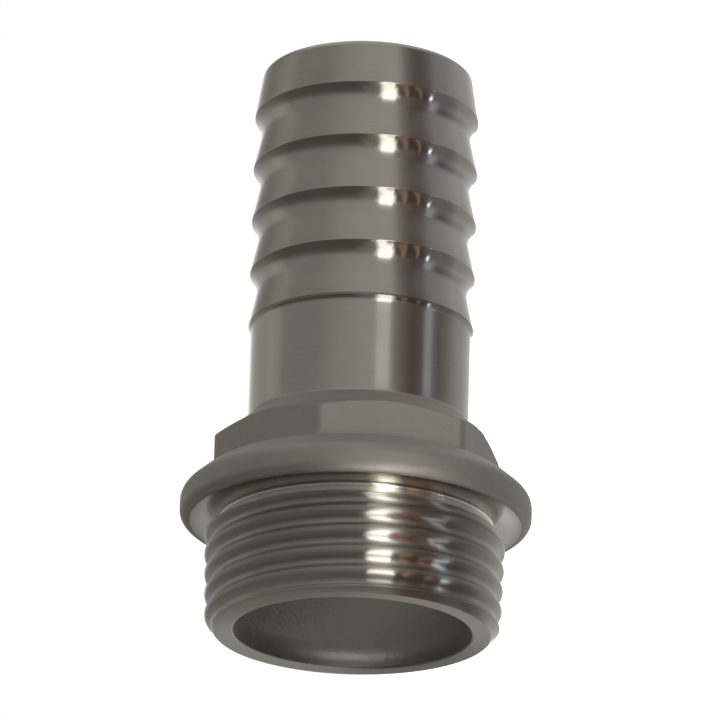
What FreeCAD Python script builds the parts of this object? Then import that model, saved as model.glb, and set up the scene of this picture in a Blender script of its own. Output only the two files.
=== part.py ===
import FreeCAD, Part

import os
import Sketcher

# Threaded hose tail adapter in stainless steel, one casting with turned ends.
# It stands on its threaded end: the origin is the centre of that end face, and
# +Z runs along the axis to the hose end. Lengths are in millimetres, angles in degrees.

SIZES = [
    # Taper pipe thread, 1 inch size, right hand
    ("gauge_diameter", 33.249, "thread major diameter at the gauge plane"),
    ("gauge_length", 10.391, "end face to the gauge plane"),
    ("taper_ratio", 16.0, "length over which the diameter grows by one"),
    ("thread_pitch", 2.309, "distance between neighbouring crests"),
    ("flank_angle", 27.5, "angle of each flank to a plane across the axis"),
    ("land_ratio", 6.0, "pitch over the land left at each crest and root"),
    ("thread_length", 12.6, "end face to the underside of the flange"),
    ("thread_start", 1.21, "how far below the end face the groove begins"),
    ("thread_clearance", 0.1, "how far the groove reaches outside the crests"),
    ("thread_runout", 0.03, "how far the groove runs on inside the relief"),
    ("end_chamfer", 1.05, "bevel round the threaded end"),
    ("relief_undercut", 0.1, "how far the relief lies below the thread roots"),
    ("relief_width", 0.55, "flat bottom of the relief groove"),
    ("relief_bevel", 0.9, "bevel between the relief groove and the flange"),
    # Flange with a flared top
    ("flange_diameter", 39.0, "outside of the flange"),
    ("flange_rim", 2.9, "underside to the start of the flare"),
    ("flare_height", 2.0, "start of the flare to the ledge under the hexagon"),
    ("ledge_diameter", 34.2, "flat ledge that the hexagon stands on"),
    ("rim_bevel", 0.7, "bevel between the rim and the flare, along the axis"),
    # Hexagonal wrench collar
    ("hex_across_flats", 28.6, "wrench size"),
    ("hex_height", 4.9, "ledge to the top of the flats"),
    ("hex_turn", 14.8, "angle of the first flat from the front"),
    ("hex_bevel_angle", 30.0, "slope of the bevel on the top corners"),
    ("hex_edge_round", 0.8, "round on the upright edges"),
    ("shoulder_height", 1.8, "top of the flats to the shank"),
    # Barbed tail
    ("shank_diameter", 24.5, "plain part above the collar"),
    ("shank_length", 11.25, "shoulder to the first crest"),
    ("first_step_length", 0.9, "cone below the first crest, along the axis"),
    ("barb_diameter", 25.2, "crest of each barb"),
    ("barb_root_diameter", 23.65, "smallest diameter between barbs"),
    ("barb_pitch", 6.24, "distance between crests"),
    ("groove_count", 4.0, "number of grooves between crests"),
    ("barb_back_length", 1.0, "cone below each crest, along the axis"),
    ("barb_clearance", 1.0, "how far each groove reaches outside the crests"),
    ("tip_length", 5.4, "last crest to the hose end"),
    ("tip_diameter", 23.5, "hose end before its edge is bevelled"),
    ("tip_bevel", 0.6, "bevel on the outer edge of the hose end"),
    # Through bore
    ("thread_bore_diameter", 26.3, "bore at the threaded end"),
    ("thread_bore_depth", 14.0, "straight length of that bore"),
    ("hose_bore_diameter", 20.0, "bore through the tail"),
    ("bore_cone_length", 5.0, "cone between the two bores"),
]

SIDES = 6
SAME_PLACE = 0.01  # millimetres within which two places count as one
LEAST_CUT = 1.0  # cubic millimetres that every cut has to take away

doc = FreeCAD.newDocument("HoseTailAdapter")


def make_sheet():
    """Put every driving dimension in its own named cell."""
    cells = doc.addObject("Spreadsheet::Sheet", "Sizes")
    for row, (word, value, note) in enumerate(SIZES, start=1):
        cells.set("A%d" % row, word)
        cells.set("B%d" % row, str(value))
        cells.set("C%d" % row, note)
        cells.setAlias("B%d" % row, word)
    doc.recompute()
    return cells


sheet = make_sheet()


def size(text):
    """Expression with every sheet word written as Sizes.word."""
    words = sorted((word for word, value, note in SIZES), key=len, reverse=True)
    for index, word in enumerate(words):
        text = text.replace(word, "<%d>" % index)
    for index, word in enumerate(words):
        text = text.replace("<%d>" % index, "Sizes." + word)
    return text


def value(text):
    """Present value of an expression of sheet words."""
    result = sheet.evalExpression(size(text))
    return float(getattr(result, "Value", result))


def plane(body, role):
    """Origin plane or axis of a body, found by its role."""
    for item in body.Origin.OriginFeatures:
        if item.Role == role:
            return item
    raise ValueError("no " + role)


def new_sketch(body, name, role):
    sketch = body.newObject("Sketcher::SketchObject", name)
    sketch.AttachmentSupport = [(plane(body, role), "")]
    sketch.MapMode = "FlatFace"
    return sketch


def pin(sketch, geometry, end, name, across, along):
    """Tie one end of a sketch line to two expressions."""
    for kind, axis, text in (("DistanceX", -2, across), ("DistanceY", -1, along)):
        if text == "0":
            sketch.addConstraint(Sketcher.Constraint("PointOnObject", geometry, end, axis))
            continue
        number = sketch.addConstraint(Sketcher.Constraint(kind, -1, 1, geometry, end, value(text)))
        label = name + kind[-1]
        sketch.renameConstraint(number, label)
        sketch.setExpression("Constraints." + label, size(text))


def outline(sketch, corners):
    """Closed outline through named corners, each given by two expressions."""
    spots = [FreeCAD.Vector(value(across), value(along), 0) for name, across, along in corners]
    count = len(corners)
    for index in range(count):
        sketch.addGeometry(Part.LineSegment(spots[index], spots[(index + 1) % count]), False)
    for index in range(count):
        sketch.addConstraint(Sketcher.Constraint("Coincident", index, 2, (index + 1) % count, 1))
    for index, (name, across, along) in enumerate(corners):
        pin(sketch, index, 1, name, across, along)


def turn(body, kind, name, sketch):
    """Revolve a sketch about the Z axis, to add or to cut."""
    feature = body.newObject(kind, name)
    feature.Profile = sketch
    feature.ReferenceAxis = (sketch, ["V_Axis"])
    feature.Angle = 360
    doc.recompute()
    return feature


def must_cut(feature, base):
    """Stop if a cut took nothing away."""
    if feature.Shape.Volume > base.Shape.Volume - LEAST_CUT:
        raise ValueError(feature.Label + " cuts nothing")


# Heights above the threaded end face
UNDERSIDE = "thread_length"
RIM_TOP = UNDERSIDE + " + flange_rim"
LEDGE = RIM_TOP + " + flare_height"
HEX_TOP = LEDGE + " + hex_height"
SHANK_LOW = HEX_TOP + " + shoulder_height"
FIRST_CREST = SHANK_LOW + " + shank_length"
LAST_CREST = FIRST_CREST + " + groove_count * barb_pitch"
HOSE_END = LAST_CREST + " + tip_length"

# Radii
MAJOR_AT_END = "(gauge_diameter - gauge_length / taper_ratio) / 2"
MAJOR_AT_FLANGE = "(gauge_diameter + (thread_length - gauge_length) / taper_ratio) / 2"
HEX_CORNER = "hex_across_flats / sqrt(3)"

# Thread form: a sharp V with an equal land left at its crest and its root
THREAD_LAND = "thread_pitch / land_ratio"
THREAD_DEPTH = "(thread_pitch / 2 - %s) / tan(flank_angle)" % THREAD_LAND
RELIEF = "(%s - %s - relief_undercut)" % (MAJOR_AT_FLANGE, THREAD_DEPTH)
RELIEF_HIGH = "thread_length - relief_bevel"
RELIEF_LOW = RELIEF_HIGH + " - relief_width"


def make_blank(body):
    """Solid of revolution: thread blank, flange, collar and plain tail."""
    relief_lip = RELIEF_LOW + " - (%s - %s) * tan(flank_angle)" % (MAJOR_AT_FLANGE, RELIEF)
    bevel_low = HEX_TOP + " - (%s - hex_across_flats / 2) * tan(hex_bevel_angle)" % HEX_CORNER
    flare_slope = "(flange_diameter - ledge_diameter) / 2 / flare_height"
    corners = [
        ("axisLow", "0", "0"),
        ("endFace", MAJOR_AT_END + " - end_chamfer", "0"),
        ("chamferTop", MAJOR_AT_END + " + end_chamfer / taper_ratio / 2", "end_chamfer"),
        ("threadTop", MAJOR_AT_FLANGE, relief_lip),
        ("reliefLow", RELIEF, RELIEF_LOW),
        ("reliefHigh", RELIEF, RELIEF_HIGH),
        ("reliefOut", RELIEF + " + relief_bevel", UNDERSIDE),
        ("rimLow", "flange_diameter / 2", UNDERSIDE),
        ("rimTop", "flange_diameter / 2", RIM_TOP + " - rim_bevel"),
        ("flareLow", "flange_diameter / 2 - rim_bevel * " + flare_slope, RIM_TOP + " + rim_bevel"),
        ("ledgeOut", "ledge_diameter / 2", LEDGE),
        ("ledgeIn", HEX_CORNER, LEDGE),
        ("bevelLow", HEX_CORNER, bevel_low),
        ("flatsTop", "hex_across_flats / 2", HEX_TOP),
        ("shankLow", "shank_diameter / 2", SHANK_LOW),
        ("shankTop", "shank_diameter / 2", FIRST_CREST + " - first_step_length"),
        ("firstCrest", "barb_diameter / 2", FIRST_CREST),
        ("lastCrest", "barb_diameter / 2", LAST_CREST),
        ("tipLow", "tip_diameter / 2", HOSE_END + " - tip_bevel"),
        ("tip", "tip_diameter / 2 - tip_bevel", HOSE_END),
        ("axisHigh", "0", HOSE_END),
    ]
    sketch = new_sketch(body, "BlankProfile", "XZ_Plane")
    outline(sketch, corners)
    return turn(body, "PartDesign::Revolution", "Blank", sketch)


def make_flats(body, base):
    """Six wrench flats, cut down to the ledge. The front of the fitting is -Y."""
    sketch = new_sketch(body, "FlatsProfile", "XY_Plane")
    sketch.setExpression("AttachmentOffset.Base.z", size(LEDGE))
    corners = []
    for number in range(SIDES):
        angle = "(hex_turn - 90 + %d)" % ((2 * number + 1) * 180 / SIDES)
        corners.append((
            "corner%d" % number,
            "%s * cos(%s)" % (HEX_CORNER, angle),
            "%s * sin(%s)" % (HEX_CORNER, angle),
        ))
    outline(sketch, corners)
    reach = "flange_diameter / 2"
    ring = Part.Circle(FreeCAD.Vector(0, 0, 0), FreeCAD.Vector(0, 0, 1), value(reach))
    circle = sketch.addGeometry(ring, False)
    sketch.addConstraint(Sketcher.Constraint("Coincident", circle, 3, -1, 1))
    number = sketch.addConstraint(Sketcher.Constraint("Radius", circle, value(reach)))
    sketch.renameConstraint(number, "clearRadius")
    sketch.setExpression("Constraints.clearRadius", size(reach))
    cut = body.newObject("PartDesign::Pocket", "WrenchFlats")
    cut.Profile = sketch
    cut.Type = "Length"
    cut.setExpression("Length", size("hex_height"))
    cut.Reversed = True
    doc.recompute()
    must_cut(cut, base)
    return cut


def make_hex_rounds(body, base):
    """Cast rounds on the upright edges of the hexagon."""
    corner = value(HEX_CORNER)

    def upright(edge):
        if len(edge.Vertexes) != 2:
            return False
        first, second = (vertex.Point for vertex in edge.Vertexes)
        across = [abs((point.x ** 2 + point.y ** 2) ** 0.5 - corner) for point in (first, second)]
        rise = abs(first.z - second.z)
        return max(across) < SAME_PLACE and abs(rise - (first - second).Length) < SAME_PLACE < rise

    names = ["Edge%d" % number for number, edge in enumerate(base.Shape.Edges, start=1) if upright(edge)]
    if len(names) != SIDES:
        raise ValueError("%d upright hexagon edges" % len(names))
    rounds = body.newObject("PartDesign::Fillet", "HexEdgeRound")
    rounds.Base = (base, names)
    rounds.setExpression("Radius", size("hex_edge_round"))
    doc.recompute()
    return rounds


def make_barbs(body, base):
    """One groove between two crests, repeated along the tail."""
    sketch = new_sketch(body, "BarbProfile", "XZ_Plane")
    crest = "barb_diameter / 2"
    upper = FIRST_CREST + " + barb_pitch"
    corners = [
        ("crestLow", crest, FIRST_CREST),
        ("root", "barb_root_diameter / 2", upper + " - barb_back_length"),
        ("crestHigh", crest, upper),
        ("clearHigh", crest + " + barb_clearance", upper),
        ("clearLow", crest + " + barb_clearance", FIRST_CREST),
    ]
    outline(sketch, corners)
    groove = turn(body, "PartDesign::Groove", "BarbGroove", sketch)
    must_cut(groove, base)
    repeat = body.newObject("PartDesign::LinearPattern", "Barbs")
    repeat.Originals = [groove]
    repeat.Direction = (sketch, ["V_Axis"])
    repeat.setExpression("Length", size("(groove_count - 1) * barb_pitch"))
    repeat.setExpression("Occurrences", size("groove_count"))
    body.Tip = repeat
    doc.recompute()
    return repeat


def make_bore(body, base):
    """Stepped through bore with a cone between its two diameters."""
    wide = "thread_bore_diameter / 2"
    narrow = "hose_bore_diameter / 2"
    corners = [
        ("axisLow", "0", "0"),
        ("mouth", wide, "0"),
        ("wideTop", wide, "thread_bore_depth"),
        ("narrowLow", narrow, "thread_bore_depth + bore_cone_length"),
        ("hoseMouth", narrow, HOSE_END),
        ("axisHigh", "0", HOSE_END),
    ]
    sketch = new_sketch(body, "BoreProfile", "XZ_Plane")
    outline(sketch, corners)
    bore = turn(body, "PartDesign::Groove", "ThroughBore", sketch)
    must_cut(bore, base)
    return bore


def make_thread(body, base):
    """Right-hand taper thread: one groove swept up a conical helix into the relief."""
    root = MAJOR_AT_END + " - thread_start / taper_ratio / 2 - " + THREAD_DEPTH
    outer = MAJOR_AT_END + " - thread_start / taper_ratio / 2 + thread_clearance"
    root_half = THREAD_LAND + " / 2"
    outer_half = root_half + " + (%s + thread_clearance) * tan(flank_angle)" % THREAD_DEPTH
    corners = [
        ("rootLow", root, "-thread_start - " + root_half),
        ("outLow", outer, "-thread_start - (%s)" % outer_half),
        ("outHigh", outer, "-thread_start + " + outer_half),
        ("rootHigh", root, "-thread_start + " + root_half),
    ]
    sketch = new_sketch(body, "ThreadProfile", "XZ_Plane")
    outline(sketch, corners)
    thread = body.newObject("PartDesign::SubtractiveHelix", "PipeThread")
    thread.Profile = sketch
    thread.ReferenceAxis = (sketch, ["V_Axis"])
    thread.Mode = "pitch-height-angle"
    thread.setExpression("Pitch", size("thread_pitch"))
    thread.setExpression("Height", size("thread_start + %s + %s + thread_runout" % (RELIEF_LOW, root_half)))
    thread.setExpression("Angle", size("atan(1 / (2 * taper_ratio))"))
    thread.LeftHanded = False
    thread.Reversed = False
    doc.recompute()
    must_cut(thread, base)
    return thread


def make_adapter():
    body = doc.addObject("PartDesign::Body", "adapter_body")
    body.Label = "adapter_body"
    blank = make_blank(body)
    flats = make_flats(body, blank)
    collar = make_hex_rounds(body, flats)
    barbs = make_barbs(body, collar)
    bore = make_bore(body, barbs)
    body.Tip = make_thread(body, bore)
    body.Placement = FreeCAD.Placement()
    doc.recompute()
    return body


def check(piece):
    """Stop if anything failed to build."""
    for item in doc.Objects:
        if "Invalid" in item.State or "Error" in item.State:
            raise RuntimeError("%s failed: %s" % (item.Name, item.State))
    if piece.Shape.isNull() or not piece.Shape.isValid():
        raise RuntimeError("%s has no valid shape" % piece.Label)
    if len(piece.Shape.Solids) != 1:
        raise RuntimeError("%s is not one solid" % piece.Label)


adapter = make_adapter()
check(adapter)

os.makedirs("parts", exist_ok=True)
adapter.Shape.exportStep("parts/%s.step" % adapter.Label)
box = adapter.Shape.optimalBoundingBox(False)
print(adapter.Label, "volume %.1f" % adapter.Shape.Volume, "faces", len(adapter.Shape.Faces))
print("box %.2f by %.2f by %.2f" % (box.XLength, box.YLength, box.ZLength))
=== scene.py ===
import math

import bpy
import numpy as np
from mathutils import Euler, Matrix, Vector


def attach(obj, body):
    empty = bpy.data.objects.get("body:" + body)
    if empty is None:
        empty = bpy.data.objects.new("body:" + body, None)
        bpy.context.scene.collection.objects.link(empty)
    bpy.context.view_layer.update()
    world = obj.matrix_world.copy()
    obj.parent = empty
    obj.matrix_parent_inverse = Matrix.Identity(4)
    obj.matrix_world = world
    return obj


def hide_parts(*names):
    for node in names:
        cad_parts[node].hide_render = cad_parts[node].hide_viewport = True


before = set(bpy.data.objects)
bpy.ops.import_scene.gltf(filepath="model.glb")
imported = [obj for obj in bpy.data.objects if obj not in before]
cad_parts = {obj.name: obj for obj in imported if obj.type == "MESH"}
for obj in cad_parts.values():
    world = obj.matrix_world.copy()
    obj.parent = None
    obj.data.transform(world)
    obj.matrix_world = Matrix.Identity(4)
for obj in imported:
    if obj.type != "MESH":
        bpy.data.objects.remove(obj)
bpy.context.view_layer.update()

# Hose tail adapter in stainless steel: a barbed tail on a hexagonal collar, a flange and
# a taper pipe thread. The body is one wall, drawn ring by ring from the threaded mouth up
# the outside, over the hose end and back down the bore. Heights and radii are in
# millimetres above the threaded end face and from the axis.

MM = 0.001

# Threaded end. The thread keeps a share of its full depth, THREAD_WEAR, and THREAD_PHASE
# sets where its crests stand. The outlines beside it start just outside its crests.
BORE_WIDE = 13.15
BORE_EDGE = 0.25
MOUTH_ROUND = 0.22
END_FACE = 15.25
END_ROUND = 0.12
CHAMFER = 1.05
THREAD_PITCH = 2.309
THREAD_MAJOR = 16.3
THREAD_TAPER = 1 / 32
THREAD_PHASE = 1.21
THREAD_WEAR = 0.80
THREAD_BLEND = 0.06
CREST_ROUND = 0.64
ROOT_ROUND = 0.46
FLANK_SLOPE = math.radians(62.5)
OFF_CRESTS = 0.05
OUTSIDE_THREAD = THREAD_MAJOR + 1
LIP = 10.95
RELIEF = 15.1
RELIEF_LOW = 11.55
RELIEF_ROUND = 0.3

# Flange and hexagonal collar
UNDERSIDE = 12.6
RIM = 19.48
RIM_TOP = 15.5
RIM_LOW_ROUND = 1.1
RIM_TOP_ROUND = 1.7
LEDGE = 17.5
LEDGE_RADIUS = 17.1
LEDGE_ROUND = 0.5
SIDES = 6
HEX_FLAT = 14.3
HEX_ROUND = 1.3
HEX_FOOT = 0.6
HEX_TOP = 22.4
HEX_TOP_ROUND = 0.5
HEX_BEVEL = math.tan(math.radians(30))
HEX_TURN = math.radians(14.8)
FLATS_LOW = 18.8
FLATS_HIGH = 20.9
BEVEL_LOW = 21.0
BEVEL_HIGH = HEX_TOP - 0.05
BEVEL_BLEND = 0.1
SHOULDER_OUT = 0.2

# Barbed tail
SHANK = 12.25
SHANK_LOW = 24.2
SHANK_ROUND = 0.7
FIRST_CREST = 35.45
FIRST_CREST_RADIUS = 12.55
FIRST_BACK_ANGLE = math.radians(33)
FIRST_BACK_ROUND = 1.9
BARBS = 5
BARB_PITCH = 6.24
LAST_CREST = FIRST_CREST + (BARBS - 1) * BARB_PITCH
CREST = 12.59
CREST_EDGE = 0.1
BACK_ANGLE = math.radians(42)
BACK_ROUND = 3.0
ROOT_CORNER = 11.5
TIP = 11.75
TIP_ROUND = 0.9
HOSE_END = 65.81
HOSE_EDGE_ROUND = 0.2
BORE_NARROW = 10.0
BORE_TOP = HOSE_END - 1
BORE_CONE = 14.0
BORE_CONE_TOP = 19.0
CONE_ROUND = 0.5

# How closely the columns and rings of the wall stand
COLUMNS_PER_SIDE = 42
CORNER_CROWDING = 0.8
RINGS_PER_PITCH = 22
FOOT_STEPS = 4
FLAT_RINGS = 3
BEVEL_STEP = 0.09
RELIEF_STEP = 0.12
TAIL_STEP = 1.5
BORE_STEP = 3.0
ARC_STEP = math.radians(7)
MARGIN = 0.02


def rgb(red, green, blue):
    return (red, green, blue, 1.0)


def shade(colour, share):
    """The same colour, darker or lighter."""
    return rgb(*(share * part for part in colour[:3]))


class Value:
    """A shader socket that Python's own operators work on."""

    def __init__(self, finish, socket):
        self.finish = finish
        self.socket = socket

    def math(self, operation, *others):
        return self.finish.math(operation, self, *others)

    def __add__(self, other):
        return self.finish.math("ADD", self, other)

    def __radd__(self, other):
        return self.finish.math("ADD", other, self)

    def __sub__(self, other):
        return self.finish.math("SUBTRACT", self, other)

    def __rsub__(self, other):
        return self.finish.math("SUBTRACT", other, self)

    def __mul__(self, other):
        return self.finish.math("MULTIPLY", self, other)

    def __rmul__(self, other):
        return self.finish.math("MULTIPLY", other, self)

    def __truediv__(self, other):
        return self.finish.math("DIVIDE", self, other)

    def __rtruediv__(self, other):
        return self.finish.math("DIVIDE", other, self)

    def part(self):
        """What is left after the whole number."""
        return self.math("FRACT")

    def ramp(self, low, high):
        """0 at low and 1 at high, smooth between them."""
        sockets = {
            "Value": self,
            "From Min": min(low, high),
            "From Max": max(low, high),
            "To Min": float(low > high),
            "To Max": float(low < high),
        }
        smooth = {"interpolation_type": "SMOOTHSTEP"}
        return self.finish.node("ShaderNodeMapRange", smooth, sockets, "Result")

    def band(self, low, high, edge):
        """1 between low and high, falling to 0 over edge on both sides."""
        return self.ramp(low - edge, low) * self.ramp(high + edge, high)


def set_stops(ramp, stops):
    for number, (spot, colour) in enumerate(stops):
        stop = ramp.elements[number] if number < 2 else ramp.elements.new(spot)
        stop.position = spot
        stop.color = colour


class Finish:
    """Node tree of one material or of the world."""

    def __init__(self, tree):
        self.tree = tree
        tree.nodes.clear()

    def node(self, kind, settings=None, sockets=None, output=0):
        """New node: its settings first, then a value or a link for each socket."""
        made = self.tree.nodes.new(kind)
        for name, setting in (settings or {}).items():
            if name == "stops":
                set_stops(made.color_ramp, setting)
            else:
                setattr(made, name, setting)
        for name, item in (sockets or {}).items():
            if isinstance(item, Value):
                self.tree.links.new(item.socket, made.inputs[name])
            else:
                made.inputs[name].default_value = item
        return Value(self, made.outputs[output]) if made.outputs else None

    def math(self, operation, *items):
        return self.node("ShaderNodeMath", {"operation": operation}, dict(enumerate(items)))

    def mix(self, share, first, second):
        """Colour between first and second."""
        sockets = {0: share, 6: first, 7: second}
        return self.node("ShaderNodeMix", {"data_type": "RGBA"}, sockets, 2)

    def blend(self, share, first, second):
        """Shader between first and second."""
        return self.node("ShaderNodeMixShader", sockets={0: share, 1: first, 2: second})

    def noise(self, place, scale, detail):
        sockets = {"Vector": place, "Scale": scale, "Detail": detail}
        return self.node("ShaderNodeTexNoise", sockets=sockets)

    def bump(self, height, strength, distance):
        sockets = {"Height": height, "Strength": strength, "Distance": distance}
        return self.node("ShaderNodeBump", sockets=sockets)

    def tones(self, position, stops):
        """Colour along the stops, each a position from 0 to 1 and a colour."""
        return self.node("ShaderNodeValToRGB", {"stops": stops}, {0: position})

    def parts(self, vector):
        """The three numbers of a vector."""
        first = self.node("ShaderNodeSeparateXYZ", sockets={0: vector})
        return [Value(self, socket) for socket in first.socket.node.outputs]

    def surface(self, shader, kind="ShaderNodeOutputMaterial"):
        self.node(kind, sockets={"Surface": shader})


def new_finish(name):
    material = bpy.data.materials.new(name)
    material.use_nodes = True
    return material, Finish(material.node_tree)


# Outline and rings of the wall

def column_angles():
    """Angles of the columns, closest together at the six corners of the hexagon."""
    angles = []
    for side in range(SIDES):
        for step in range(COLUMNS_PER_SIDE):
            share = step / COLUMNS_PER_SIDE
            share -= CORNER_CROWDING * math.sin(math.tau * share) / math.tau
            angles.append(HEX_TURN + math.tau / SIDES * (side - 0.5 + share))
    return np.array(angles) - math.pi / 2


ANGLES = column_angles()


def hexagon(outset):
    """Radius of the hexagon at each column, its sides moved out by outset."""
    flat = HEX_FLAT + outset
    corner_round = HEX_ROUND + outset
    half = math.pi / SIDES
    turned = (ANGLES + math.pi / 2 - HEX_TURN + half) % (2 * half) - half
    centre = (flat - corner_round) / math.cos(half)
    tangent = math.atan((flat - corner_round) * math.tan(half) / flat)
    off_corner = half - np.abs(turned)
    aside = centre * np.sin(off_corner)
    beyond = np.sqrt(np.maximum(corner_round ** 2 - aside ** 2, 0))
    on_round = centre * np.cos(off_corner) + beyond
    return np.where(np.abs(turned) > tangent, on_round, flat / np.cos(turned))


def soft_least(first, second, blend):
    """The smaller of two radii, rounded over where they cross."""
    gap = np.clip(0.5 + (second - first) / (2 * blend), 0, 1)
    return second * (1 - gap) + first * gap - blend * gap * (1 - gap)


def thread_radius(height):
    """Radius of the right-hand taper thread at each column."""
    major = THREAD_MAJOR + THREAD_TAPER * height
    turned = (ANGLES + math.pi / 2) / math.tau
    phase = (height + THREAD_PHASE) / THREAD_PITCH - turned
    from_root = np.abs(phase - np.round(phase)) * THREAD_PITCH
    from_crest = THREAD_PITCH / 2 - from_root
    steep = math.tan(FLANK_SLOPE)
    crest_reach = CREST_ROUND * math.sin(FLANK_SLOPE)
    root_reach = ROOT_ROUND * math.sin(FLANK_SLOPE)
    flank_top = CREST_ROUND * (1 - math.cos(FLANK_SLOPE))
    flank_drop = (THREAD_PITCH / 2 - root_reach - crest_reach) * steep
    root_top = flank_top + flank_drop - ROOT_ROUND * math.cos(FLANK_SLOPE)
    crest = CREST_ROUND - np.sqrt(np.maximum(CREST_ROUND ** 2 - from_crest ** 2, 0))
    flank = flank_top + (from_crest - crest_reach) * steep
    root = root_top + np.sqrt(np.maximum(ROOT_ROUND ** 2 - from_root ** 2, 0))
    depth = np.where(from_root < root_reach, root, flank)
    depth = np.where(from_crest < crest_reach, crest, depth)
    return major - THREAD_WEAR * depth


def with_thread(radius, height):
    """The given radius, or the thread's where that is smaller."""
    return soft_least(radius, thread_radius(height), THREAD_BLEND)


def under_bevel(height):
    """Hexagon wall below the bevel that takes its top corners off."""
    bevel = HEX_FLAT + (HEX_TOP - height) / HEX_BEVEL
    return soft_least(hexagon(0), bevel, BEVEL_BLEND)


def rounded(corners):
    """Points along an outline of (radius, height, round) corners, each turned with its round."""
    points = []
    for index, (radius, height, turn_round) in enumerate(corners):
        here = Vector((radius, height))
        if turn_round == 0 or index in (0, len(corners) - 1):
            points.append(here)
            continue
        back = (Vector(corners[index - 1][:2]) - here).normalized()
        ahead = (Vector(corners[index + 1][:2]) - here).normalized()
        half = back.angle(ahead) / 2
        centre = here + (back + ahead).normalized() * (turn_round / math.sin(half))
        start = here + back * (turn_round / math.tan(half)) - centre
        sweep = math.pi - 2 * half
        side = 1 if start.y * back.x > start.x * back.y else -1
        steps = max(2, round(sweep / ARC_STEP))
        for step in range(steps + 1):
            turned = start.copy()
            turned.rotate(Matrix.Rotation(side * sweep * step / steps, 2))
            points.append(centre + turned)
    return points


def spaced(points, longest):
    """The same outline with no step longer than the given length."""
    out = [points[0]]
    for start, end in zip(points, points[1:]):
        count = max(1, math.ceil((end - start).length / longest))
        out += [start.lerp(end, step / count) for step in range(1, count + 1)]
    return out


class Wall:
    """Rings of points, each with the finish of the strip that follows it."""

    def __init__(self):
        self.radii = []
        self.heights = []
        self.finishes = []

    def ring(self, radius, height, finish):
        self.radii.append(np.broadcast_to(radius, ANGLES.shape).astype(float))
        self.heights.append(np.full(ANGLES.shape, float(height)))
        self.finishes.append(finish)

    def rings(self, points, finish, shape=None):
        for point in points:
            radius = shape(point.x, point.y) if shape else point.x
            self.ring(radius, point.y, finish)

    def mesh(self, name):
        rows = len(self.radii)
        columns = len(ANGLES)
        radii = np.array(self.radii) * MM
        across = radii * np.cos(ANGLES)
        deep = radii * np.sin(ANGLES)
        corners = np.stack([across, deep, np.array(self.heights) * MM], axis=2)
        row, column = np.meshgrid(np.arange(rows), np.arange(columns), indexing="ij")
        here = row * columns
        after = (row + 1) % rows * columns
        beside = (column + 1) % columns
        quads = np.stack([here + column, here + beside, after + beside, after + column], axis=2)
        made = bpy.data.meshes.new(name)
        made.from_pydata(corners.reshape(-1, 3).tolist(), [], quads.reshape(-1, 4).tolist())
        made.polygons.foreach_set("material_index", np.repeat(self.finishes, columns))
        made.polygons.foreach_set("use_smooth", np.ones(rows * columns, bool))
        made.update()
        return made


TURNED, CAST, BORE = range(3)


def thread_rings(wall):
    """End face, chamfer and thread, up to the relief groove and out to the ledge."""
    end = rounded([
        (BORE_WIDE, BORE_EDGE, 0),
        (BORE_WIDE, 0.0, MOUTH_ROUND),
        (END_FACE, 0.0, END_ROUND),
        (THREAD_MAJOR + OFF_CRESTS, CHAMFER, 0),
    ])
    wall.rings(end[:-1], TURNED, with_thread)
    start = end[-2].y
    count = math.ceil((LIP - start) / THREAD_PITCH * RINGS_PER_PITCH)
    for step in range(1, count):
        height = start + (LIP - start) * step / count
        chamfer = min(END_FACE + height, OUTSIDE_THREAD)
        wall.ring(with_thread(chamfer, height), height, TURNED)
    flange = rounded([
        (THREAD_MAJOR + THREAD_TAPER * LIP + OFF_CRESTS, LIP, 0),
        (RELIEF, RELIEF_LOW, RELIEF_ROUND),
        (RELIEF, UNDERSIDE, RELIEF_ROUND),
        (RIM, UNDERSIDE, RIM_LOW_ROUND),
        (RIM, RIM_TOP, RIM_TOP_ROUND),
        (LEDGE_RADIUS, LEDGE, LEDGE_ROUND),
        (HEX_FLAT, LEDGE, 0),
    ])
    groove_top = UNDERSIDE - RELIEF_ROUND - MARGIN
    flat_end = RIM - RIM_LOW_ROUND - MARGIN
    groove = [point for point in spaced(flange, RELIEF_STEP) if point.y < groove_top]
    wall.rings(groove, TURNED, with_thread)
    rest = [point for point in flange[:-1] if point.y >= groove_top]
    flat = [point for point in rest if point.y < UNDERSIDE + MARGIN and point.x < flat_end]
    wall.rings(flat, TURNED)
    wall.rings(rest[len(flat):], CAST)


def collar_rings(wall):
    """Hexagon on its round foot, with bevelled top corners."""
    for step in range(FOOT_STEPS + 1):
        turned = math.pi / 2 * step / FOOT_STEPS
        outset = HEX_FOOT * (1 - math.sin(turned))
        wall.ring(hexagon(outset), LEDGE + HEX_FOOT * (1 - math.cos(turned)), CAST)
    for height in np.linspace(FLATS_LOW, FLATS_HIGH, FLAT_RINGS):
        wall.ring(hexagon(0), height, CAST)
    for height in np.arange(BEVEL_LOW, BEVEL_HIGH, BEVEL_STEP):
        wall.ring(under_bevel(height), height, CAST)


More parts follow.
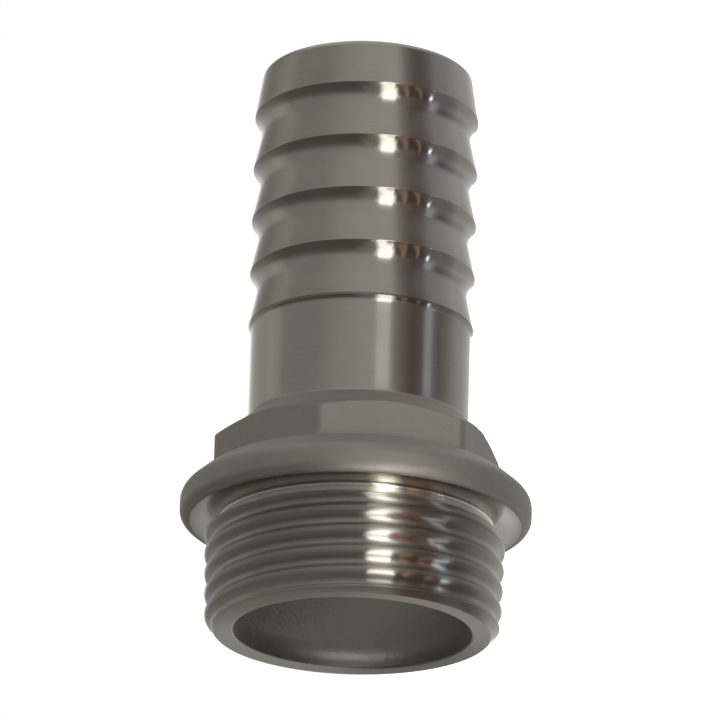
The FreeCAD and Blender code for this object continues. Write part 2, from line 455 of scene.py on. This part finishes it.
def tail_rings(wall):
    """Shoulder, shank and barbs, over the hose end."""
    first_rise = (FIRST_CREST_RADIUS - SHANK) / math.tan(FIRST_BACK_ANGLE)
    rise = (CREST - ROOT_CORNER) / math.tan(BACK_ANGLE)
    corners = [
        (HEX_FLAT + SHOULDER_OUT, HEX_TOP - SHOULDER_OUT * HEX_BEVEL, 0),
        (HEX_FLAT, HEX_TOP, HEX_TOP_ROUND),
        (SHANK, SHANK_LOW, SHANK_ROUND),
        (SHANK, FIRST_CREST - first_rise, FIRST_BACK_ROUND),
        (FIRST_CREST_RADIUS, FIRST_CREST, CREST_EDGE),
    ]
    for number in range(1, BARBS):
        crest = FIRST_CREST + number * BARB_PITCH
        corners.append((ROOT_CORNER, crest - rise, BACK_ROUND))
        corners.append((CREST, crest, CREST_EDGE))
    corners.append((TIP, HOSE_END, TIP_ROUND))
    corners.append((BORE_NARROW, HOSE_END, HOSE_EDGE_ROUND))
    corners.append((BORE_NARROW, BORE_TOP, 0))
    points = rounded(corners)[1:-1]
    shoulder = [point for point in points if point.y < SHANK_LOW]
    wall.rings(shoulder, CAST)
    wall.rings(spaced(points[len(shoulder):], TAIL_STEP), TURNED)


def bore_rings(wall):
    points = rounded([
        (BORE_NARROW, BORE_TOP, 0),
        (BORE_NARROW, BORE_CONE_TOP, CONE_ROUND),
        (BORE_WIDE, BORE_CONE, CONE_ROUND),
        (BORE_WIDE, BORE_EDGE, 0),
    ])
    wall.rings(spaced(points, BORE_STEP), BORE)


def make_body():
    wall = Wall()
    thread_rings(wall)
    collar_rings(wall)
    tail_rings(wall)
    bore_rings(wall)
    body = bpy.data.objects.new("adapter_steel", wall.mesh("adapter_steel"))
    bpy.context.scene.collection.objects.link(body)
    for material in (turned_steel(), cast_steel(), bore_steel()):
        body.data.materials.append(material)
    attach(body, "root")
    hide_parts("adapter_body")


# Finishes of the metal

STEEL = rgb(0.225, 0.216, 0.193)
STREAK_DARK = shade(STEEL, 0.96)
STREAK_PALE = shade(STEEL, 1.04)
END_STEEL = rgb(0.29, 0.28, 0.252)
# Painted shade on the thread crests and painted light in its grooves
CREST_PAINTED_SHADE = rgb(0.18, 0.172, 0.154)
GROOVE_PAINTED_LIGHT = rgb(0.245, 0.235, 0.21)
# Painted light in the relief groove under the flange, where shade falls
RELIEF_PAINTED_LIGHT = rgb(0.48, 0.46, 0.42)
# Painted shade under the barb crests and at the step below the first crest
BARB_PAINTED_SHADE = rgb(0.06, 0.054, 0.048)
CAST_DARK = rgb(0.198, 0.189, 0.168)
CAST_PALE = rgb(0.236, 0.226, 0.202)
# Painted light: the bore's steel is painted much lighter than the outer steel, for the dim inside of
# the bore
BORE_PAINTED_LIGHT_DARK = rgb(0.58, 0.57, 0.55)
BORE_PAINTED_LIGHT_PALE = rgb(0.69, 0.675, 0.65)

# Where each part of the turned finish fades in, from its first limit to its second
STREAK_FADE = (0.35, 0.65)
CREST_FADE = (FIRST_CREST, FIRST_CREST + 0.1)
LAST_CREST_FADE = (LAST_CREST + 0.4, LAST_CREST)
# Painted shade under the barb crests
BACK_FADE = (1.25, 0.55)
# Painted shade on the thread crests and painted light in its grooves
GROOVE_FADE = (0.05, 0.5)
THREAD_FADE = (UNDERSIDE - 0.2, UNDERSIDE - 0.8)
END_FADE = (0.3, 0.1)
# Painted light in the relief groove and on the flange underside
RELIEF_FADE = (LIP + 0.2, RELIEF_LOW)
RELIEF_RIM_FADE = (18.8, 17.0)
UNDERSIDE_FADE = (UNDERSIDE + 0.4, UNDERSIDE + 0.1)
# Painted shade at the step below the first crest, and how strong both painted shades are
STEP_PAINTED_SHADE = (FIRST_CREST - 0.45, FIRST_CREST)
STEP_PAINTED_SHADE_EDGE = 0.15
BACK_PAINTED_SHADE_SHARE = 0.25
STEP_PAINTED_SHADE_SHARE = 0.4
LINES_PER_MM = 4.0

# Roughness of each finish, and what its lines, thread or grain add
TURNED_ROUGHNESS = 0.14
LINE_ROUGHNESS = 0.03
THREAD_ROUGHNESS = 0.17
CAST_ROUGHNESS = 0.56
CAST_GRAIN_ROUGHNESS = 0.12
BORE_ROUGHNESS = 0.33
BORE_GRAIN_ROUGHNESS = 0.15


def steel(finish, colour, roughness, bump, anisotropic=0.0):
    sockets = {
        "Base Color": colour,
        "Metallic": 1.0,
        "Roughness": roughness,
        "Normal": bump,
        "Anisotropic": anisotropic,
        "Anisotropic Rotation": 0.25,
    }
    finish.surface(finish.node("ShaderNodeBsdfPrincipled", sockets=sockets))


def place_in_mm(finish):
    """Place on the part in millimetres, from the middle of the end face."""
    place = finish.node("ShaderNodeTexCoord", output="Object")
    sockets = {"Vector": place, "Scale": 1 / MM}
    return finish.node("ShaderNodeVectorMath", {"operation": "SCALE"}, sockets)


def turned_steel():
    """Fine lathe lines round the axis, with painted shade under the barb crests, painted shade and
    light on the thread and painted light in the relief groove.
    """
    material, finish = new_finish("turned_steel")
    place = place_in_mm(finish)
    across, deep, height = finish.parts(place)
    radius = (across * across + deep * deep).math("SQRT")

    sockets = {"X": radius * LINES_PER_MM, "Z": height * LINES_PER_MM}
    line_place = finish.node("ShaderNodeCombineXYZ", sockets=sockets)
    lines = finish.noise(line_place, scale=1.0, detail=4.0)
    mottle = finish.noise(place, scale=0.25, detail=3.0)
    streaks = (mottle * 0.5 + lines * 0.5).ramp(*STREAK_FADE)
    clean = finish.mix(streaks, STREAK_DARK, STREAK_PALE)

    # Painted shade on the thread crests and painted light in its grooves
    groove = (THREAD_MAJOR + height * THREAD_TAPER - radius).ramp(*GROOVE_FADE)
    thread = height.ramp(*THREAD_FADE)
    threaded = finish.mix(thread, clean, finish.mix(groove, CREST_PAINTED_SHADE, GROOVE_PAINTED_LIGHT))
    faced = finish.mix(height.ramp(*END_FADE), threaded, END_STEEL)
    # Painted light in the relief groove and on the flange underside, lifting the shade there
    relief_painted_light = height.ramp(*RELIEF_FADE) * radius.ramp(*RELIEF_RIM_FADE) * height.ramp(*UNDERSIDE_FADE)
    with_relief_light = finish.mix(relief_painted_light, faced, RELIEF_PAINTED_LIGHT)

    # Painted shade under each barb crest and at the step below the first one
    barb = (height - FIRST_CREST) / BARB_PITCH
    under_crest = ((1 - barb.part()) * BARB_PITCH).ramp(*BACK_FADE)
    on_barbs = height.ramp(*CREST_FADE) * height.ramp(*LAST_CREST_FADE)
    step = height.band(*STEP_PAINTED_SHADE, STEP_PAINTED_SHADE_EDGE)
    painted_shade = under_crest * on_barbs * BACK_PAINTED_SHADE_SHARE + step * STEP_PAINTED_SHADE_SHARE
    colour = finish.mix(painted_shade, with_relief_light, BARB_PAINTED_SHADE)

    roughness = TURNED_ROUGHNESS + lines * LINE_ROUGHNESS + thread * THREAD_ROUGHNESS
    bump = finish.bump(lines, strength=0.3, distance=0.00002)
    steel(finish, colour, roughness, bump, anisotropic=1.0)
    return material


def cast_steel():
    """Satin skin of the casting: fine grain with soft mottling."""
    material, finish = new_finish("cast_steel")
    place = place_in_mm(finish)
    grain = finish.noise(place, scale=3.2, detail=4.0)
    mottle = finish.noise(place, scale=0.3, detail=3.0)
    colour = finish.mix(mottle, CAST_DARK, CAST_PALE)
    roughness = CAST_ROUGHNESS + grain * CAST_GRAIN_ROUGHNESS
    steel(finish, colour, roughness, finish.bump(grain, strength=0.35, distance=0.00006))
    return material


def bore_steel():
    """Dull, grainy wall of the bore, painted much lighter than the outer steel as painted light in
    the dim bore.
    """
    material, finish = new_finish("bore_steel")
    grain = finish.noise(place_in_mm(finish), scale=2.0, detail=4.0)
    colour = finish.mix(grain, BORE_PAINTED_LIGHT_DARK, BORE_PAINTED_LIGHT_PALE)
    roughness = BORE_ROUGHNESS + grain * BORE_GRAIN_ROUGHNESS
    steel(finish, colour, roughness, finish.bump(grain, strength=0.5, distance=0.00008))
    return material


# Tones round the room, by degrees to the right of the front
LOW_TONES = (
    (-180, (1.0, 1.0, 1.0)),
    (-168, (1.0, 1.0, 1.0)),
    (-150, (0.72, 0.71, 0.69)),
    (-125, (0.78, 0.77, 0.73)),
    (-107, (1.0, 0.98, 0.91)),
    (-95, (0.86, 0.84, 0.78)),
    (-88, (0.66, 0.64, 0.62)),
    (-45, (0.67, 0.64, 0.61)),
    (-20, (0.86, 0.83, 0.79)),
    (5, (1.00, 0.96, 0.91)),
    (15, (1.02, 0.98, 0.94)),
    (20, (1.12, 1.09, 1.07)),
    (28, (1.10, 1.06, 1.02)),
    (35, (0.62, 0.55, 0.48)),
    (46, (0.42, 0.34, 0.31)),
    (56, (0.26, 0.20, 0.20)),
    (67, (0.34, 0.30, 0.34)),
    (72, (0.98, 0.96, 1.12)),
    (77, (0.98, 0.96, 1.15)),
    (82, (0.38, 0.39, 0.48)),
    (90, (0.22, 0.23, 0.24)),
    (102, (0.42, 0.41, 0.40)),
    (118, (0.72, 0.71, 0.72)),
    (135, (0.78, 0.78, 0.79)),
    (150, (0.82, 0.82, 0.83)),
    (164, (0.82, 0.82, 0.83)),
    (168, (1.0, 1.0, 1.0)),
    (171, (2.8, 2.8, 2.7)),
    (177, (2.8, 2.8, 2.7)),
    (180, (1.0, 1.0, 1.0)),
)
FAR_TONES = tuple(tone for tone in LOW_TONES if tone[0] < 80) + (
    (84, (0.42, 0.42, 0.48)),
    (94, (0.50, 0.50, 0.51)),
    (102, (0.64, 0.64, 0.64)),
    (112, (0.98, 0.98, 0.97)),
    (150, (1.02, 1.02, 1.0)),
    (168, (1.0, 1.0, 1.0)),
    (171, (2.8, 2.8, 2.7)),
    (177, (2.8, 2.8, 2.7)),
    (180, (1.0, 1.0, 1.0)),
)
HIGH_TONES = (
    (-180, (1.0, 1.0, 1.0)),
    (-155, (0.40, 0.39, 0.38)),
    (-130, (0.42, 0.41, 0.40)),
    (-112, (0.68, 0.67, 0.62)),
    (-100, (0.80, 0.77, 0.71)),
    (-94, (0.80, 0.77, 0.71)),
    (-87, (0.64, 0.61, 0.56)),
    (-50, (0.64, 0.60, 0.55)),
    (-24, (0.86, 0.83, 0.77)),
    (0, (1.00, 0.96, 0.91)),
    (35, (0.96, 0.93, 0.89)),
    (44, (0.54, 0.48, 0.44)),
    (54, (0.29, 0.23, 0.22)),
    (66, (0.31, 0.26, 0.27)),
    (78, (0.52, 0.49, 0.53)),
    (88, (0.68, 0.67, 0.75)),
    (106, (0.82, 0.81, 0.84)),
    (122, (0.94, 0.93, 0.94)),
    (137, (0.80, 0.80, 0.81)),
    (150, (0.80, 0.80, 0.81)),
    (180, (1.2, 1.2, 1.2)),
)

# Painted reflection: tones the floor glows with in glossy rays only, at the foot of the part and
# beside it
FOOT_TONES = (
    (-180, (0.62, 0.61, 0.59)),
    (-125, (0.56, 0.55, 0.53)),
    (-90, (0.44, 0.42, 0.39)),
    (0, (0.42, 0.40, 0.37)),
    (30, (0.42, 0.39, 0.36)),
    (38, (0.24, 0.18, 0.15)),
    (52, (0.24, 0.18, 0.15)),
    (62, (0.30, 0.30, 0.33)),
    (70, (0.24, 0.24, 0.26)),
    (80, (0.40, 0.40, 0.42)),
    (95, (0.80, 0.80, 0.79)),
    (140, (0.80, 0.80, 0.79)),
    (180, (0.62, 0.61, 0.59)),
)
NEAR_TONES = (
    (-180, (0.54, 0.53, 0.52)),
    (-168, (0.42, 0.41, 0.40)),
    (-140, (0.42, 0.41, 0.40)),
    (-125, (0.50, 0.49, 0.47)),
    (-88, (0.30, 0.29, 0.27)),
    (-18, (0.26, 0.25, 0.23)),
    (2, (0.33, 0.32, 0.295)),
    (14, (0.44, 0.425, 0.395)),
    (30, (0.44, 0.42, 0.39)),
    (38, (0.22, 0.18, 0.16)),
    (62, (0.20, 0.16, 0.14)),
    (70, (0.40, 0.40, 0.44)),
    (76, (0.46, 0.46, 0.49)),
    (84, (0.56, 0.56, 0.58)),
    (95, (0.52, 0.52, 0.53)),
    (102, (0.60, 0.60, 0.60)),
    (112, (0.98, 0.98, 0.96)),
    (142, (1.04, 1.04, 1.02)),
    (154, (0.54, 0.54, 0.53)),
    (180, (0.54, 0.53, 0.52)),
)


def share_of_turn(across, deep):
    """Share of a turn round the axis, a half at the front and more to the right."""
    return across.math("ARCTAN2", deep * -1.0) / math.tau + 0.5


def round_tones(finish, turn, tones):
    """Colour at a share of a turn, from tones by degrees."""
    stops = [(degrees / 360 + 0.5, rgb(*colour)) for degrees, colour in tones]
    return finish.tones(turn, stops)


# Floor, in metres. Close to the foot its painted reflection tones turn by FOOT_TWIST of a turn.
FLOOR_DROP = 0.00001
FLOOR_RINGS = (END_FACE * MM - 0.00005, 0.1, 2.0)
FLOOR_SEGMENTS = 96
FLOOR_DARK = rgb(0.70, 0.69, 0.67)
FLOOR_PALE = rgb(0.73, 0.72, 0.70)
FOOT_TWIST = 16 / 360
FOOT_TWIST_FADE = (0.034, 0.02)
NEAR_FADE = (0.028, 0.036)
FAR_FADE = (0.06, 0.6)


def pale_floor():
    """Matte floor that glows, in glossy rays only, with painted reflection tones that change with
    the turn and the distance.
    """
    material, finish = new_finish("pale_floor")
    place = finish.node("ShaderNodeTexCoord", output="Object")
    grain = finish.noise(place, scale=40.0, detail=2.0)
    colour = finish.mix(grain, FLOOR_DARK, FLOOR_PALE)
    matte = finish.node("ShaderNodeBsdfDiffuse", sockets={"Color": colour})
    across, deep = finish.parts(place)[:2]
    distance = (across * across + deep * deep).math("SQRT")
    turn = share_of_turn(across, deep) + distance.ramp(*FOOT_TWIST_FADE) * FOOT_TWIST
    foot = round_tones(finish, turn, FOOT_TONES)
    beside = finish.mix(distance.ramp(*NEAR_FADE), foot, round_tones(finish, turn, NEAR_TONES))
    tone = finish.mix(distance.ramp(*FAR_FADE), beside, round_tones(finish, turn, FAR_TONES))
    # Painted reflection: the floor glows with these tones in glossy rays only
    painted_reflection = finish.node("ShaderNodeEmission", sockets={"Color": tone, "Strength": 1.0})
    in_metal = finish.node("ShaderNodeLightPath", output="Is Glossy Ray")
    above = finish.blend(in_metal, matte, painted_reflection)
    from_below = finish.node("ShaderNodeNewGeometry", output="Backfacing")
    finish.surface(finish.blend(from_below, above, finish.node("ShaderNodeBsdfTransparent")))
    material.cycles.emission_sampling = "NONE"
    return material


def make_floor():
    """Pale floor, open under the end face, and seen from above only."""
    corners = []
    faces = []
    for radius in FLOOR_RINGS:
        for number in range(FLOOR_SEGMENTS):
            angle = math.tau * number / FLOOR_SEGMENTS
            corners.append((radius * math.cos(angle), radius * math.sin(angle), -FLOOR_DROP))
    for ring in range(len(FLOOR_RINGS) - 1):
        low = ring * FLOOR_SEGMENTS
        high = low + FLOOR_SEGMENTS
        for number in range(FLOOR_SEGMENTS):
            beside = (number + 1) % FLOOR_SEGMENTS
            faces.append((low + number, high + number, high + beside, low + beside))
    mesh = bpy.data.meshes.new("floor")
    mesh.from_pydata(corners, [], faces)
    floor = bpy.data.objects.new("floor", mesh)
    bpy.context.scene.collection.objects.link(floor)
    floor.data.materials.append(pale_floor())


# Room: where one height's tones give way to the next, in degrees above the level
LOW_FADE = (3.0, 12.0)
HIGH_FADE = (21.0, 28.0)
CEILING_FADE = (44.0, 60.0)
BELOW_FADE = (0.0, -4.0)
CEILING = rgb(1.15, 1.13, 1.09)

# Light from below, from the left across to the right
BELOW_LEFT = rgb(0.20, 0.195, 0.19)
BELOW_RIGHT = rgb(0.78, 0.765, 0.74)
BELOW_ACROSS = (-0.45, 0.35)

# Painted shade: a darker tone the room shows to camera rays below the level, standing in for the
# shaded floor that a look down the bore shows
FLOOR_IN_BORE = rgb(0.30, 0.295, 0.285)


def make_room():
    """Pale room whose tones change by direction, darker to the front right."""
    world = bpy.data.worlds.new("room")
    bpy.context.scene.world = world
    world.use_nodes = True
    finish = Finish(world.node_tree)
    across, deep, height = finish.parts(finish.node("ShaderNodeTexCoord", output="Generated"))
    turn = share_of_turn(across, deep)
    rise = height.math("ARCSINE") * math.degrees(1)
    far = round_tones(finish, turn, FAR_TONES)
    low = finish.mix(rise.ramp(*LOW_FADE), far, round_tones(finish, turn, LOW_TONES))
    walls = finish.mix(rise.ramp(*HIGH_FADE), low, round_tones(finish, turn, HIGH_TONES))
    upper = finish.mix(rise.ramp(*CEILING_FADE), walls, CEILING)
    below = finish.mix(across.ramp(*BELOW_ACROSS), BELOW_LEFT, BELOW_RIGHT)
    # Painted shade: camera rays that look down through the floor see FLOOR_IN_BORE
    in_view = finish.node("ShaderNodeLightPath", output="Is Camera Ray")
    lower = finish.mix(in_view, below, FLOOR_IN_BORE)
    room = finish.mix(rise.ramp(*BELOW_FADE), upper, lower)
    light = finish.node("ShaderNodeBackground", sockets={"Color": room, "Strength": 1.0})
    finish.surface(light, "ShaderNodeOutputWorld")


KEY = (1.0, 0.985, 0.94)
AMBER = (1.0, 0.60, 0.36)
COOL = (0.80, 0.90, 1.0)

# Lamps lying on the floor, facing up: turn to the right in degrees and distance of both
# ends, width, brightness and colour
FLOOR_LAMPS = (
    ("key", (11, 0.0172), (13, 0.0225), 0.0037, 10.0, KEY),
    ("key", (13.5, 0.0225), (16, 0.03), 0.0052, 9.0, KEY),
    ("key", (20, 0.03), (21.5, 0.045), 0.0070, 5.5, KEY),
    ("key", (23.5, 0.045), (23.5, 0.08), 0.016, 5.5, KEY),
    ("key", (23, 0.08), (23, 0.15), 0.0295, 5.5, KEY),
    ("key", (22.7, 0.15), (22.7, 0.28), 0.055, 5.5, KEY),
    ("key", (22.3, 0.28), (22.3, 0.6), 0.113, 5.5, KEY),
    ("key", (22.3, 0.6), (22.3, 1.9), 0.30, 5.5, KEY),
    ("glow", (10, 0.042), (9, 0.08), 0.018, 0.22, KEY),
    ("glow", (7, 0.07), (6, 0.18), 0.040, 0.22, KEY),
    ("amber", (21, 0.0175), (32, 0.0255), 0.0008, 2.6, AMBER),
    ("amber", (31, 0.0175), (47, 0.0255), 0.0008, 2.0, AMBER),
    ("amber", (42.5, 0.04), (41.5, 0.3), 0.010, 0.75, AMBER),
    ("amber", (60, 0.04), (57, 0.3), 0.005, 0.9, AMBER),
    ("cool", (39.5, 0.0175), (56, 0.0265), 0.0009, 7.0, COOL),
    ("cool", (70.5, 0.13), (69, 0.2), 0.008, 13.0, COOL),
)
FLOOR_LAMP_HEIGHT = 0.001

# Upright lamp that stands on the floor far off to the front
UPRIGHT_TURN = 22.4
UPRIGHT_DISTANCE = 3.0
UPRIGHT_WIDTH = 0.75
UPRIGHT_HEIGHT = 0.35
UPRIGHT_BRIGHTNESS = 7.0


def around(turn, distance, height):
    """Point at a turn to the right of the front, in degrees, and a distance from the axis."""
    angle = math.radians(turn)
    return Vector((distance * math.sin(angle), -distance * math.cos(angle), height))


def make_lamp(name, centre, turned, width, height, brightness, colour):
    """Rectangular lamp that is equally bright all over its face."""
    data = bpy.data.lights.new(name, "AREA")
    data.shape = "RECTANGLE"
    data.size = width
    data.size_y = height
    data.energy = brightness * math.pi * width * height
    data.color = colour
    lamp = bpy.data.objects.new(name, data)
    lamp.location = centre
    lamp.rotation_mode = "QUATERNION"
    lamp.rotation_quaternion = turned
    lamp.visible_camera = False
    bpy.context.scene.collection.objects.link(lamp)


def make_lamps():
    for name, near, far, width, brightness, colour in FLOOR_LAMPS:
        start = around(*near, FLOOR_LAMP_HEIGHT)
        end = around(*far, FLOOR_LAMP_HEIGHT)
        along = end - start
        turned = Euler((math.pi, 0, math.atan2(along.x, -along.y))).to_quaternion()
        make_lamp(name, (start + end) / 2, turned, width, along.length, brightness, colour)
    centre = around(UPRIGHT_TURN, UPRIGHT_DISTANCE, UPRIGHT_HEIGHT / 2)
    turned = around(UPRIGHT_TURN, -1, 0).to_track_quat("-Z", "Y")
    make_lamp("upright", centre, turned, UPRIGHT_WIDTH, UPRIGHT_HEIGHT, UPRIGHT_BRIGHTNESS, KEY)


# Camera below the level, aimed near the middle of the part and rolled a little
CAMERA_DISTANCE = 0.8
CAMERA_TARGET = Vector((-0.02, 0.0, 31.97)) * MM
CAMERA_TILT = math.radians(19.5)
CAMERA_ROLL = math.radians(1.64)


def make_camera():
    data = bpy.data.cameras.new("camera")
    data.sensor_width = 36.0
    data.lens = 358.9
    data.clip_start = 0.01
    data.clip_end = 20.0
    camera = bpy.data.objects.new("camera", data)
    bpy.context.scene.collection.objects.link(camera)
    ahead = Vector((0, math.cos(CAMERA_TILT), math.sin(CAMERA_TILT)))
    upward = Vector((0, -math.sin(CAMERA_TILT), math.cos(CAMERA_TILT)))
    across = Vector((1, 0, 0))
    right = math.cos(CAMERA_ROLL) * across + math.sin(CAMERA_ROLL) * upward
    top = math.cos(CAMERA_ROLL) * upward - math.sin(CAMERA_ROLL) * across
    pose = Matrix((right, top, -ahead)).transposed().to_4x4()
    pose.translation = CAMERA_TARGET - ahead * CAMERA_DISTANCE
    camera.matrix_world = pose
    bpy.context.scene.camera = camera


make_camera()
make_room()
make_lamps()
make_floor()
make_body()
bpy.context.scene.view_settings.view_transform = "Standard"
